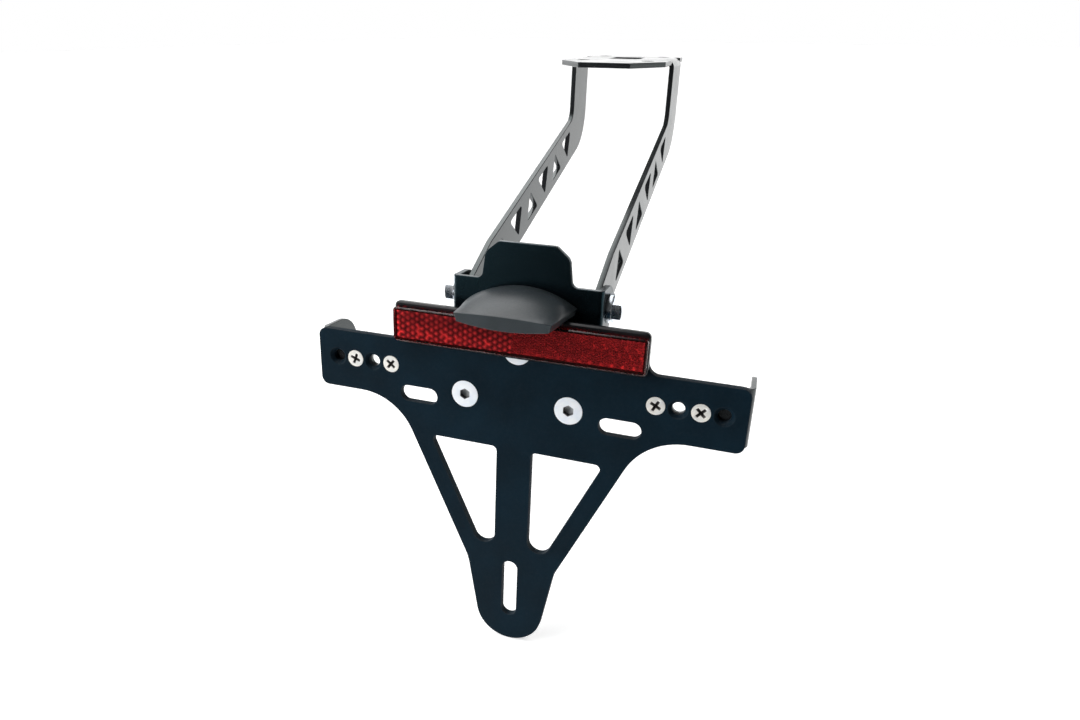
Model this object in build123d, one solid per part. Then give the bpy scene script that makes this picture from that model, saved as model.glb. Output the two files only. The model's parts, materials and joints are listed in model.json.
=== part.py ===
from build123d import *
import os
from math import acos, atan2, cos, degrees, hypot, radians, sin, tan

# Motorbike tail tidy. The origin is the centre of the bolt pattern on the upper face of the top
# plate, +Y points forward along the bike and +Z up. All sizes are in millimetres and degrees.

# Sheets
arm_sheet = 2.5
bracket_sheet = 2.5
plate_sheet = 3.0
leaf_sheet = 2.0
bend_inner = 1.5
bend_relief = 2.0

# Fits
screw_clearance = 0.3
thread_clearance = 0.05
head_clearance = 0.1
seat_clearance = 0.1
pivot_gap = 0.6

# Top plate of the tail carrier
top_plate_rear = 52.2
nose_half = 13.0
shoulder_length = 20.7
shoulder_half = 27.2
ear_length = 14.5
ear_chamfer = 4.0
mount_spacing_x = 34.0
mount_spacing_y = 52.0
mount_hole_radius = 3.25
cable_opening_width = 17.0
cable_opening_length = 21.0
cable_opening_radius = 3.0
cable_opening_forward = 4.5

# Arms of the tail carrier
arm_outer_half = 28.2
arm_width = 20.0
arm_slope = 15.8
arm_eye_radius = 7.0
arm_taper_end = 22.8
arm_line_rise = 0.5
riser_width = 26.8
riser_lean = 6.5
riser_start = -7.5
rear_knee_radius = 8.0
front_knee_radius = 25.0
window_count = 6
window_first = 33.5
window_pitch = 21.5
window_base = 16.6
window_height = 11.8
window_radius = 1.0

# Pivot of the number plate unit, behind and below the origin
pivot_back = 159.4
pivot_drop = 84.4
pivot_radius = 9.0
plate_lean = 6.5

# Tilt bracket, measured from the pivot
wall_setback = 8.5
bracket_corner = 2.2
bracket_inner_corner = 0.5
tab_half = 18.6
tab_shoulder_half = 17.3
tab_shoulder_height = 10.7
tab_top_half = 11.8
tab_height = 15.3
tab_fillet = 2.6
tab_shoulder_radius = 4.0
tab_top_radius = 2.5
stem_half = 21.0
stem_radius = 3.0
foot_half = 30.0
foot_margin = 8.0
foot_radius = 4.0
spacer_length = 5.0
spacer_radius = 6.0

# Plate carrier, measured from its row of small holes
row_drop = 30.5
plate_width = 180.0
bar_above = 11.9
bar_below = 13.9
bar_corner = 3.5
tab_edge_half = 51.7
tab_edge_rise = 27.5
tab_edge_fillet = 4.5
tab_edge_corner = 3.0
row_edge = 8.77
row_pitch = 8.46
row_count = 4
row_hole_radius = 2.5
bolt_pair_half = 22.1
bolt_pair_drop = 8.0
bolt_single_rise = 13.8
slot_offset = 43.0
slot_drop = 11.8
slot_length = 17.0
slot_width = 7.0
strut_angle = 25.0
strut_start_half = 53.5
strut_width = 7.75
strut_curve_radius = 26.0
strut_foot_radius = 20.0
web_half = 7.55
window_top_drop = 29.2
window_top_radius = 2.2
window_foot_radius = 5.0
tongue_taper = 10.4
tongue_radius = 15.3
tongue_centre_drop = 109.5
tongue_slot_top = 83.9
tongue_slot_length = 28.2
tongue_slot_width = 6.9

# Indicator brackets
flange_stand_off = 1.0
leaf_length = 39.5
leaf_radius = 10.0
flange_radius = 12.0
flange_centre_drop = 1.0
flange_reach = 16.0
stem_hole_radius = 5.25

# Reflector
reflector_half = 52.0
reflector_height = 17.5
reflector_rise = 11.2
reflector_corner = 2.2
base_depth = 2.4
base_chamfer = 0.7
lens_half = 51.6
lens_height = 14.1
lens_rise = 12.7
lens_depth = 2.6
lens_corner = 1.6
lens_chamfer = 0.5
stud_offset = 40.0
stud_head_radius = 4.0
stud_head_depth = 1.2
stud_tip = 2.0

# Number plate light
light_reach = 26.4
light_rise = 1.4
light_ridge_half = 19.0
light_rim_half = 21.5
light_rim_crown = 6.7
light_mid_crown = 5.6
light_ridge_crown = 0.4
light_neck_reach = 0.8
light_neck_inset = 0.7
light_chin_drop = 4.9
light_chin_end_drop = 3.2
light_chin_inset = 1.1
light_wall = 1.0
light_gap = 0.5
pocket_half = 12.5
pocket_height = 4.0
pocket_setback = 4.0
window_depth = 1.0
board_margin = 0.3
board_depth = 1.0
led_size = 2.8
led_depth = 0.8
led_gap = 0.2
led_pitch = 8.0
led_count = 3
light_screw_offset = 10.0
light_screw_depth = 7.0
light_duct_radius = 1.6
light_duct_hole_radius = 3.0

# Fasteners
m6_radius = 3.0
m6_head_radius = 5.9
m6_socket = 4.0
m6_socket_depth = 1.9
m6_hex = 10.0
m6_hex_head = 4.0
m6_nut = 5.0
m6_lock_nut = 6.0
m6_washer_radius = 6.0
m6_washer = 1.6
pivot_washer = 2.2
m6_plate_bolt_length = 20.0
m6_pivot_bolt_length = 18.0
m5_radius = 2.5
m5_hex = 8.0
m5_nut = 4.0
m4_radius = 2.0
m4_head_radius = 3.75
m4_hex = 7.0
m4_nut = 3.2
m4_screw_length = 11.0
m4_pan_radius = 4.0
m4_pan_head = 2.6
m4_pan_rounding = 0.9
cross_width = 1.0
cross_span = 4.7
cross_depth = 1.5
cross_taper = 12.0
tip_chamfer = 0.6
nut_chamfer = 0.5

# Positions that follow from those above, in the pivot's frame
pivot = (-pivot_back, -pivot_drop)
arm_bend = bend_inner + arm_sheet
riser_end = riser_start + riser_width / cos(radians(riser_lean))
bracket_half = arm_outer_half + pivot_gap + bracket_sheet
bracket_top = pivot_radius + tab_height
wall_back = -wall_setback
wall_front = wall_back - bracket_sheet
plate_back = wall_front - spacer_length
plate_front = plate_back - plate_sheet
leaf_back = plate_back + leaf_sheet
leaf_bend = bend_inner + leaf_sheet
base_front = plate_front - base_depth
lens_front = base_front - lens_depth
row_z = -row_drop
bar_top = row_z + bar_above
bar_bottom = row_z - bar_below
bracket_bottom = row_z - bolt_pair_drop - foot_margin
bracket_reach = max(bracket_top, -bracket_bottom)
reflector_top = row_z + reflector_rise + reflector_height
reflector_mid = reflector_top - reflector_height / 2
lens_mid = row_z + lens_rise + lens_height / 2
ridge_front = wall_front - light_reach
light_rim = wall_front - light_neck_reach
chin_bottom = light_rise - light_chin_drop
pocket_front = ridge_front + pocket_setback
pocket_back = lens_front - light_gap - light_wall
pocket_top = chin_bottom + pocket_height
led_top = pocket_top - board_depth
window_top = led_top - led_depth - led_gap
plate_half = plate_width / 2
flange_outer_half = plate_half + flange_stand_off
leaf_inner_half = flange_outer_half - leaf_length
row_offsets = [plate_half - row_edge - row_pitch * i for i in range(row_count)]
leaf_offsets = row_offsets[1:]
screw_offsets = leaf_offsets[::2]
bolt_places = [
    (-bolt_pair_half, row_z - bolt_pair_drop),
    (bolt_pair_half, row_z - bolt_pair_drop),
    (0, row_z + bolt_single_rise),
]
screw_places = [(side * x, row_z) for x in screw_offsets for side in (1, -1)]
stud_places = [(side * stud_offset, reflector_mid) for side in (1, -1)]
light_screw_places = [(side * light_screw_offset, light_rise) for side in (1, -1)]

base_up = (Align.CENTER, Align.CENTER, Align.MIN)
base_down = (Align.CENTER, Align.CENTER, Align.MAX)


def step(start, angle, length):
    """Point at a length from a start, along an angle, in a plane."""
    return (start[0] + length * cos(radians(angle)), start[1] + length * sin(radians(angle)))


def meet(start, angle, other, other_angle):
    """Point where two lines in a plane cross, each given by a point and its angle."""
    ax, ay = step((0, 0), angle, 1)
    bx, by = step((0, 0), other_angle, 1)
    run = ((other[0] - start[0]) * by - (other[1] - start[1]) * bx) / (ax * by - ay * bx)
    return step(start, angle, run)


def touch(point, centre, radius, side):
    """Point where a line from a point touches a circle, on one side of it."""
    dx, dy = point[0] - centre[0], point[1] - centre[1]
    angle = degrees(atan2(dy, dx)) + side * degrees(acos(radius / hypot(dx, dy)))
    return step(centre, angle, radius)


def outline(points):
    """Flat face inside straight lines through the points."""
    return Sketch() + make_face(Polyline(*points, close=True))


def mirrored(points):
    """Half outline followed by its mirror image across the middle."""
    return points + [(-x, y) for x, y in reversed(points)]


def round_corner(sketch, corner, radius):
    """Round the one corner of a flat sketch that lies nearest to a point."""
    vertex = sketch.vertices().sort_by_distance(Vector(corner[0], corner[1], 0))[0]
    return fillet([vertex], radius)


def round_pair(sketch, corner, radius):
    """Round a corner on the right and its mirror image on the left."""
    sketch = round_corner(sketch, corner, radius)
    return round_corner(sketch, (-corner[0], corner[1]), radius)


def across(sketch, half):
    """Prism of a side view sketch (forward, up), reaching half to each side."""
    return extrude(Plane.YZ * sketch, amount=half, both=True)


def upright(sketch, front, back):
    """Prism of a rear view sketch (right, up), from a front to a back position."""
    return extrude(Plane.XZ.offset(-front) * sketch, amount=front - back)


def rod(radius, front, back, place):
    """Round bar along the forward direction, at a place in the rear view."""
    return upright(Pos(*place) * Circle(radius), front, back)


def facing(solid, place, front):
    """Turn a piece built along +Z to point forward, and put it at a place in the rear view."""
    return Pos(place[0], front, place[1]) * Rot(-90, 0, 0) * solid


def at_each(solid, places, front):
    """The same piece at several places in the rear view."""
    return [facing(solid, place, front) for place in places]


def on_both_sides(solid, distance):
    """The same piece at a distance to each side, pointing inwards."""
    right = Pos(distance, 0, 0) * Rot(0, -90, 0) * solid
    left = Pos(-distance, 0, 0) * Rot(0, 90, 0) * solid
    return [right, left]


def hexagon(flats):
    """Flat hexagon of a size across its flats."""
    return RegularPolygon(flats / 2, 6, major_radius=False)


def hex_block(flats, height):
    """Hexagonal block on its base plane, with the corners of both ends turned down."""
    turned = Cylinder(flats / 2 + nut_chamfer, height, align=base_up)
    turned = chamfer(turned.edges().filter_by(GeomType.CIRCLE), nut_chamfer)
    return extrude(hexagon(flats), amount=height) & turned


def nut(flats, height, screw_radius):
    """Hexagonal nut on its base plane."""
    return hex_block(flats, height) - Cylinder(screw_radius + thread_clearance, height, align=base_up)


def ring(radius, height):
    """Flat ring on its base plane that fits an M6 screw."""
    return extrude(Circle(radius) - Circle(m6_radius + screw_clearance), amount=height)


def shank(radius, length):
    """Screw shank that starts at the base plane and ends in a chamfer."""
    bar = Cylinder(radius, length, align=base_up)
    return chamfer(bar.edges().group_by(Axis.Z)[-1], tip_chamfer)


def cross_recess():
    """Tapered cross recess cut from the base plane."""
    wings = Rectangle(cross_span, cross_width) + Rectangle(cross_width, cross_span)
    return extrude(wings, amount=cross_depth, taper=cross_taper)


def countersink(head_radius, radius):
    """Cone of a countersunk head, wide end on the base plane."""
    return Cone(head_radius, radius, head_radius - radius, align=base_up)


def countersunk_cut(head_radius, hole_radius):
    """Tool for a countersunk hole through the plate carrier."""
    return countersink(head_radius + head_clearance, hole_radius) + Cylinder(
        hole_radius, plate_sheet, align=base_up
    )


def plate_bolt():
    """M6 countersunk bolt with a hexagon socket."""
    bolt = countersink(m6_head_radius, m6_radius) + shank(m6_radius, m6_plate_bolt_length)
    return bolt - extrude(hexagon(m6_socket), amount=m6_socket_depth)


def indicator_screw():
    """M4 countersunk screw with a cross recess."""
    return countersink(m4_head_radius, m4_radius) + shank(m4_radius, m4_screw_length) - cross_recess()


def light_screw():
    """M4 pan-head screw with its head below the base plane."""
    head = Cylinder(m4_pan_radius, m4_pan_head, align=base_down)
    head = fillet(head.edges().group_by(Axis.Z)[0], m4_pan_rounding)
    length = bracket_sheet + light_screw_depth - seat_clearance
    return head + shank(m4_radius, length) - Pos(0, 0, -m4_pan_head) * cross_recess()


def pivot_bolt():
    """M6 hexagon bolt with its head below the base plane."""
    head = Pos(0, 0, -m6_hex_head) * hex_block(m6_hex, m6_hex_head)
    return head + shank(m6_radius, m6_pivot_bolt_length)


def reflector_stud():
    """M5 stud with a flat head on the base plane."""
    head = Cylinder(stud_head_radius, stud_head_depth, align=base_up)
    return head + shank(m5_radius, stud_head_depth + plate_sheet + m5_nut + stud_tip)


def arm_window(index):
    """Triangular window of an arm, pointing up and down in turn."""
    base = window_height / 2 if index % 2 else -window_height / 2
    window = outline([(-window_base / 2, base), (window_base / 2, base), (0, -base)])
    return fillet(window.vertices(), window_radius)


def arm_profile():
    """Side view of one arm: its eye, the slanted run with windows, and the riser."""
    foot = (pivot[0], pivot[1] + arm_line_rise)
    taper = step(foot, arm_slope, arm_taper_end)
    upper = step(taper, arm_slope + 90, arm_width / 2)
    lower = step(taper, arm_slope - 90, arm_width / 2)
    rear_top = (riser_start, 0)
    front_top = (riser_end, 0)
    rear_knee = meet(upper, arm_slope, rear_top, 90 - riser_lean)
    front_knee = meet(lower, arm_slope, front_top, 90 - riser_lean)
    eye_upper = touch(upper, pivot, arm_eye_radius, 1)
    eye_lower = touch(lower, pivot, arm_eye_radius, -1)
    profile = outline(
        [eye_upper, upper, rear_knee, rear_top, front_top, front_knee, lower, eye_lower]
    )
    profile = round_corner(profile, rear_knee, rear_knee_radius)
    profile = round_corner(profile, front_knee, front_knee_radius)
    profile = profile + Pos(*pivot) * Circle(arm_eye_radius)
    profile = profile - Pos(*pivot) * Circle(m6_radius + screw_clearance)
    for index in range(window_count):
        place = step(foot, arm_slope, window_first + window_pitch * index)
        profile = profile - Pos(*place) * Rot(0, 0, arm_slope) * arm_window(index)
    return profile


def arm_channel():
    """Channel section whose two legs hold the arms."""
    depth = pivot_drop + arm_width
    outer = Pos(0, -depth / 2) * Rectangle(2 * arm_outer_half, depth)
    outer = fillet(outer.vertices().group_by(Axis.Y)[-1], arm_bend)
    inner_half = arm_outer_half - arm_sheet
    inner = Pos(0, -arm_sheet - depth / 2) * Rectangle(2 * inner_half, depth)
    inner = fillet(inner.vertices().group_by(Axis.Y)[-1], bend_inner)
    return upright(outer - inner, -pivot_back - arm_width, riser_end)


def top_plate():
    """Flat top plate, narrowed beside the bends of the arms."""
    notch_start = riser_start - arm_bend * tan(radians(riser_lean)) - bend_relief
    notch_end = riser_end + bend_relief
    front = notch_end + ear_length
    bend_line = arm_outer_half - arm_bend
    half = [
        (nose_half, -top_plate_rear),
        (shoulder_half, -top_plate_rear + shoulder_length),
        (shoulder_half, notch_start),
        (bend_line, notch_start),
        (bend_line, notch_end),
        (shoulder_half, notch_end),
        (shoulder_half, front - ear_chamfer),
        (shoulder_half - ear_chamfer, front),
    ]
    return extrude(outline(mirrored(half)), amount=-arm_sheet)


def tail_carrier():
    """Top plate and both arms, folded from one sheet."""
    solid = (arm_channel() & across(arm_profile(), arm_outer_half)) + top_plate()
    opening = RectangleRounded(cable_opening_width, cable_opening_length, cable_opening_radius)
    cuts = Pos(0, cable_opening_forward) * opening
    cuts = cuts + GridLocations(mount_spacing_x, mount_spacing_y, 2, 2) * Circle(mount_hole_radius)
    return solid - extrude(cuts, amount=-arm_sheet)


def bracket_front_view():
    """Rear view of the tilt bracket: wall, tab, stem and foot."""
    bolt_z = row_z - bolt_pair_drop
    half = [
        (foot_half, bracket_bottom),
        (foot_half, bolt_z + foot_margin),
        (stem_half, bolt_z + foot_margin + foot_half - stem_half),
        (stem_half, -pivot_radius),
        (bracket_half, -pivot_radius),
        (bracket_half, pivot_radius),
        (tab_half, pivot_radius),
        (tab_shoulder_half, pivot_radius + tab_shoulder_height),
        (tab_top_half, bracket_top),
    ]
    view = outline(mirrored(half))
    view = round_pair(view, half[0], foot_radius)
    view = round_pair(view, half[3], stem_radius)
    view = round_pair(view, half[6], tab_fillet)
    view = round_pair(view, half[7], tab_shoulder_radius)
    return round_pair(view, half[8], tab_top_radius)


def bracket_channel():
    """Channel section whose two legs hold the flanges of the tilt bracket."""
    depth = pivot_radius - wall_front
    inner_half = bracket_half - bracket_sheet
    outer = Pos(0, wall_front + depth / 2) * Rectangle(2 * bracket_half, depth)
    outer = fillet(outer.vertices().group_by(Axis.Y)[0], bracket_corner)
    inner = Pos(0, wall_back + depth / 2) * Rectangle(2 * inner_half, depth)
    inner = fillet(inner.vertices().group_by(Axis.Y)[0], bracket_inner_corner)
    return extrude(outer - inner, amount=bracket_reach, both=True)


def tilt_bracket():
    """Front wall with its tab and the two side flanges, in one piece."""
    flange = Pos(wall_front / 2, 0) * Rectangle(-wall_front, 2 * pivot_radius) + Circle(pivot_radius)
    wall = Pos((wall_front + wall_back) / 2, 0) * Rectangle(bracket_sheet, 2 * bracket_reach)
    solid = bracket_channel() & across(wall + flange, bracket_half)
    solid = solid & upright(bracket_front_view(), wall_front, pivot_radius)
    solid = solid - across(Circle(m6_radius + screw_clearance), bracket_half)
    for place in bolt_places:
        solid = solid - rod(m6_radius + screw_clearance, wall_front, wall_back, place)
    for place in light_screw_places:
        solid = solid - rod(m4_radius + screw_clearance, wall_front, wall_back, place)
    return solid - rod(light_duct_hole_radius, wall_front, wall_back, (0, light_rise))


def strut_line(inset):
    """Start and angle of the right strut's outer edge, moved inwards by an inset."""
    angle = -90 - strut_angle
    return step((strut_start_half, bar_bottom), angle - 90, inset), angle


def plate_outline():
    """Rear view of the plate carrier without its openings."""
    tongue = (0, row_z - tongue_centre_drop)
    side_angle = -90 - tongue_taper
    tongue_side = step(tongue, -tongue_taper, tongue_radius)
    start, angle = strut_line(0)
    strut_foot = meet(start, angle, tongue_side, side_angle)
    tab_top = row_z + tab_edge_rise
    half = [
        tongue_side,
        strut_foot,
        start,
        (plate_half, bar_bottom),
        (plate_half, bar_top),
        (tab_edge_half, bar_top),
        (tab_edge_half, tab_top),
    ]
    view = outline(mirrored(half))
    view = round_pair(view, strut_foot, strut_foot_radius)
    view = round_pair(view, start, strut_curve_radius)
    view = round_pair(view, (plate_half, bar_bottom), bar_corner)
    view = round_pair(view, (plate_half, bar_top), bar_corner)
    view = round_pair(view, (tab_edge_half, bar_top), tab_edge_fillet)
    view = round_pair(view, (tab_edge_half, tab_top), tab_edge_corner)
    return view + Pos(*tongue) * Circle(tongue_radius)


def strut_window():
    """Triangular opening between the web and the right strut."""
    start, angle = strut_line(strut_width)
    top = row_z - window_top_drop
    top_outer = meet(start, angle, (0, top), 0)
    foot = meet(start, angle, (web_half, 0), 90)
    view = outline([(web_half, top), top_outer, foot])
    view = round_corner(view, foot, window_foot_radius)
    view = round_corner(view, top_outer, window_top_radius)
    return round_corner(view, (web_half, top), window_top_radius)


def plate_carrier():
    """Flat plate that carries the number plate, the reflector and the indicator brackets."""
    window = strut_window()
    view = plate_outline() - window - mirror(window, about=Plane.YZ)
    for side in (1, -1):
        view = view - Pos(side * slot_offset, row_z - slot_drop) * SlotOverall(slot_length, slot_width)
    for place in stud_places:
        view = view - Pos(*place) * Circle(m5_radius + screw_clearance)
    slot_mid = row_z - tongue_slot_top - tongue_slot_length / 2
    view = view - Pos(0, slot_mid) * SlotOverall(tongue_slot_length, tongue_slot_width, rotation=90)
    solid = upright(view, plate_front, plate_back)
    row_places = [(side * x, row_z) for x in row_offsets for side in (1, -1)]
    bolt_cut = countersunk_cut(m6_head_radius, m6_radius + screw_clearance)
    row_cut = countersunk_cut(m4_head_radius, row_hole_radius)
    for cut in at_each(bolt_cut, bolt_places, plate_front) + at_each(row_cut, row_places, plate_front):
        solid = solid - cut
    return solid


def indicator_bracket():
    """Right-hand indicator bracket: a leaf behind the plate carrier and a flange bent back."""
    centre = (plate_front + flange_reach, row_z - flange_centre_drop)
    depth = centre[0] + flange_radius - plate_back
    width = flange_outer_half - leaf_inner_half
    middle = (flange_outer_half - width / 2, plate_back + depth / 2)
    outer = Pos(*middle) * Rectangle(width, depth)
    outer = round_corner(outer, (flange_outer_half, plate_back), leaf_bend)
    inner = Pos(middle[0] - leaf_sheet, middle[1] + leaf_sheet) * Rectangle(width, depth)
    inner = round_corner(inner, (flange_outer_half - leaf_sheet, leaf_back), bend_inner)
    angle = Pos(0, 0, centre[1]) * extrude(outer - inner, amount=flange_radius, both=True)
    straight = centre[0] - plate_back
    flange = Pos(plate_back + straight / 2, centre[1]) * Rectangle(straight, 2 * flange_radius)
    flange = flange + Pos(*centre) * Circle(flange_radius) - Pos(*centre) * Circle(stem_hole_radius)
    leaf = Pos(middle[0], centre[1]) * Rectangle(width, 2 * flange_radius)
    leaf = fillet(leaf.vertices().group_by(Axis.X)[0], leaf_radius)
    solid = angle & across(flange, flange_outer_half)
    solid = solid & upright(leaf, plate_back, plate_back + depth)
    for x in leaf_offsets:
        solid = solid - rod(row_hole_radius, plate_back, leaf_back, (x, row_z))
    return solid


def reflector_base():
    """Black tray of the reflector, with pockets for the heads of its studs."""
    view = RectangleRounded(2 * reflector_half, reflector_height, reflector_corner)
    solid = upright(Pos(0, reflector_mid) * view, base_front, plate_front)
    solid = chamfer(solid.faces().sort_by(Axis.Y)[0].edges(), base_chamfer)
    for place in stud_places:
        head_front = plate_front - stud_head_depth
        solid = solid - rod(stud_head_radius + seat_clearance, head_front, plate_front, place)
    return solid


def reflector_lens():
    """Red lens on the front of the tray."""
    view = RectangleRounded(2 * lens_half, lens_height, lens_corner)
    solid = upright(Pos(0, lens_mid) * view, lens_front, base_front)
    return chamfer(solid.faces().sort_by(Axis.Y)[0].edges(), lens_chamfer)


def light_section(front, arc):
    """Cross-section of the light's domed top at a forward position, under an arc."""
    base = Line(arc @ 1, arc @ 0)
    return Plane.XZ.offset(-front) * make_face([arc, base])


def flat_arc(half, crown):
    """Arc over the light that meets its sides at a shallow angle."""
    return ThreePointArc((half, light_rise), (0, light_rise + crown), (-half, light_rise))


def steep_arc(half, crown):
    """Arc over the light that meets its sides upright."""
    return EllipticalCenterArc((0, light_rise), half, crown, arc_size=180)


def chin_section(front, half):
    """Cross-section of the light's lower part: short sides and a bowed underside."""
    side = half - light_chin_inset
    end = light_rise - light_chin_end_drop
    under = ThreePointArc((side, end), (0, chin_bottom), (-side, end))
    sides = Polyline((-side, end), (-half, light_rise), (half, light_rise), (side, end))
    return Plane.XZ.offset(-front) * make_face([under, sides])


def light_housing():
    """Hood of the number plate light: a dome over a chin, hollowed from below."""
    middle = (ridge_front + light_rim) / 2
    mid_half = (light_ridge_half + light_rim_half) / 2
    dome = loft(
        [
            light_section(light_rim, flat_arc(light_rim_half, light_rim_crown)),
            light_section(middle, steep_arc(mid_half, light_mid_crown)),
            light_section(ridge_front, flat_arc(light_ridge_half, light_ridge_crown)),
        ]
    )
    chin_ends = [
        chin_section(ridge_front, light_ridge_half),
        chin_section(light_rim, light_rim_half),
    ]
    chin = loft(chin_ends, ruled=True)
    neck_crown = light_rim_crown - light_neck_inset
    neck_section = light_section(light_rim, flat_arc(light_rim_half - light_neck_inset, neck_crown))
    neck = extrude(neck_section, amount=-light_neck_reach)
    clear_front = lens_front - light_gap
    clear_depth = wall_front - clear_front
    clear = Box(2 * reflector_half, clear_depth, reflector_height, align=base_down)
    clear_place = Pos(0, clear_front + clear_depth / 2, reflector_top + light_gap)
    solid = dome + chin + neck - clear_place * clear
    solid = solid - pocket_block(0, pocket_top, pocket_height)
    for place in light_screw_places:
        screw_end = wall_front - light_screw_depth
        solid = solid - rod(m4_radius + thread_clearance, screw_end, wall_front, place)
    return solid - rod(light_duct_radius, pocket_back, wall_front, (0, light_rise))


def pocket_block(inset, top, depth):
    """Block that fills the space inside the light, less an inset, down from a height."""
    length = pocket_back - pocket_front - 2 * inset
    block = Box(2 * (pocket_half - inset), length, depth, align=base_down)
    return Pos(0, (pocket_front + pocket_back) / 2, top) * block


def light_leds():
    """Row of light chips under the board."""
    chip = Box(led_size, led_size, led_depth, align=base_down)
    middle = (pocket_front + pocket_back) / 2
    first = -led_pitch * (led_count - 1) / 2
    return [Pos(first + led_pitch * i, middle, led_top) * chip for i in range(led_count)]


def unit_pieces():
    """Every piece of the tilting number plate unit, in the pivot's frame."""
    right = indicator_bracket()
    face = plate_front + head_clearance
    washer_outside = bracket_half + pivot_washer
    nut_outside = arm_outer_half - arm_sheet - pivot_gap
    washer = ring(m6_washer_radius, m6_washer)
    nut_face = wall_back + m6_washer
    stud_face = plate_front - stud_head_depth
    backwards = Rot(180, 0, 0) * light_screw()
    return {
        "tilt_bracket": [tilt_bracket()],
        "pivot_bolts": on_both_sides(pivot_bolt(), washer_outside),
        "pivot_washers": on_both_sides(ring(m6_washer_radius, pivot_washer), washer_outside),
        "pivot_nuts": on_both_sides(nut(m6_hex, m6_lock_nut, m6_radius), nut_outside),
        "plate_carrier": [plate_carrier()],
        "plate_bolts": at_each(plate_bolt(), bolt_places, face),
        "plate_spacers": at_each(ring(spacer_radius, spacer_length), bolt_places, plate_back),
        "plate_washers": at_each(washer, bolt_places, wall_back),
        "plate_nuts": at_each(nut(m6_hex, m6_nut, m6_radius), bolt_places, nut_face),
        "indicator_bracket_right": [right],
        "indicator_bracket_left": [mirror(right, about=Plane.YZ)],
        "indicator_screws": at_each(indicator_screw(), screw_places, face),
        "indicator_nuts": at_each(nut(m4_hex, m4_nut, m4_radius), screw_places, leaf_back),
        "reflector_base": [reflector_base()],
        "reflector_lens": [reflector_lens()],
        "reflector_studs": at_each(reflector_stud(), stud_places, stud_face),
        "reflector_nuts": at_each(nut(m5_hex, m5_nut, m5_radius), stud_places, plate_back),
        "light_housing": [light_housing()],
        "light_window": [pocket_block(seat_clearance, window_top, window_depth)],
        "light_board": [pocket_block(board_margin, pocket_top, board_depth)],
        "light_leds": light_leds(),
        "light_screws": at_each(backwards, light_screw_places, wall_back),
    }


def save(name, solids):
    """Write one node as separate solids."""
    shape = solids[0] if len(solids) == 1 else Compound(children=solids)
    export_step(shape, f"parts/{name}.step")


def main():
    """Write the carrier in its own place and the unit tilted about the pivot."""
    os.makedirs("parts", exist_ok=True)
    save("tail_carrier", [tail_carrier()])
    place = Pos(0, *pivot) * Rot(-plate_lean, 0, 0)
    for name, solids in unit_pieces().items():
        save(name, [place * solid for solid in solids])


main()
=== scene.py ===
import json
import random
from math import ceil, cos, pi, radians, sin, sqrt, tan

import bmesh
import bpy
from bpy.props import FloatProperty, FloatVectorProperty, PointerProperty
from bpy.types import Operator, Panel, PropertyGroup
from mathutils import Euler, Matrix, Vector


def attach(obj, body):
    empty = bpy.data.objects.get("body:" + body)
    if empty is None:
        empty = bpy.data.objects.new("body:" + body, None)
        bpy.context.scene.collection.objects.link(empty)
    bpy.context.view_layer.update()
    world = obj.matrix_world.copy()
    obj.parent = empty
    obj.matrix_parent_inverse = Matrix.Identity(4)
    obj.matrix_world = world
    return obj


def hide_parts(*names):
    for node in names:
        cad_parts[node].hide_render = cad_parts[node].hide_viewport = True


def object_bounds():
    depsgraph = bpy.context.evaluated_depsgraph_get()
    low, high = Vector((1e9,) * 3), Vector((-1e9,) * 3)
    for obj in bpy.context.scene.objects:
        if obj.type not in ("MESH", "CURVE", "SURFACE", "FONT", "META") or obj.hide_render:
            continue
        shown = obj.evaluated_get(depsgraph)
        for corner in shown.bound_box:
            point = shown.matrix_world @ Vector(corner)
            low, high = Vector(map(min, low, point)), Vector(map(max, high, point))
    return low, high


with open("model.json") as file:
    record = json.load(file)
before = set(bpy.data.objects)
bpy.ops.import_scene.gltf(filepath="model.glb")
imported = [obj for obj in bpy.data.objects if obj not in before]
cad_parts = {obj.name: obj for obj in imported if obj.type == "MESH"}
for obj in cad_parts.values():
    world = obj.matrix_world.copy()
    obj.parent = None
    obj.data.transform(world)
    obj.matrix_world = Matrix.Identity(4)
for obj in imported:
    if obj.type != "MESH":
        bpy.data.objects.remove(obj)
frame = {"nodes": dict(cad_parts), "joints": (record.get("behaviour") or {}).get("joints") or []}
CAD_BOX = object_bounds()

bl_info = {
    "name": "Tail tidy dresser",
    "version": (1, 0, 0),
    "blender": (4, 5, 0),
    "location": "3D View > Sidebar > Tail tidy",
    "description": "Builds the finishes, fasteners, reflector and stage of a motorbike tail tidy",
    "category": "Object",
}

MM = 0.001
CARRIER = "carrier"
UNIT = "plate_unit"
PIVOT = Vector(frame["joints"][0]["pos_m"])

# Sizes of the fasteners; the pan head's outline is radius and height in millimetres
M6_RADIUS = 3.0 * MM
M5_RADIUS = 2.5 * MM
M4_RADIUS = 2.0 * MM
SOCKET_FLATS = 4.0 * MM
SOCKET_DEPTH = 1.9 * MM
CROSS_SPAN = 4.7 * MM
CROSS_WIDTH = 1.2 * MM
CROSS_DEPTH = 1.5 * MM
CROSS_TURNS = [radians(turn) for turn in (20, 40, 28, 45)]
PIVOT_FLATS = 10.0 * MM
PIVOT_HEAD = 4.0 * MM
STUD_RADIUS = 4.0 * MM
STUD_HEAD = 1.2 * MM
STUD_EDGE = 0.1 * MM
PAN_HEAD = 2.5 * MM
PAN_OUTLINE = ((2.9, 0.02), (3.6, 0.35), (3.95, 0.95), (4.0, 1.4), (4.0, 2.5), (3.9, 2.6))

# Fineness of the meshes
COLUMNS = 48
WELD = 1e-6
SLIVER = 1e-9
TINY = 1e-6
FLAT_ANGLE = radians(0.4)
SHARP_ANGLE = radians(28)
SMOOTH_ANGLE = radians(35)
PRISM_ANGLE = radians(5)

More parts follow.
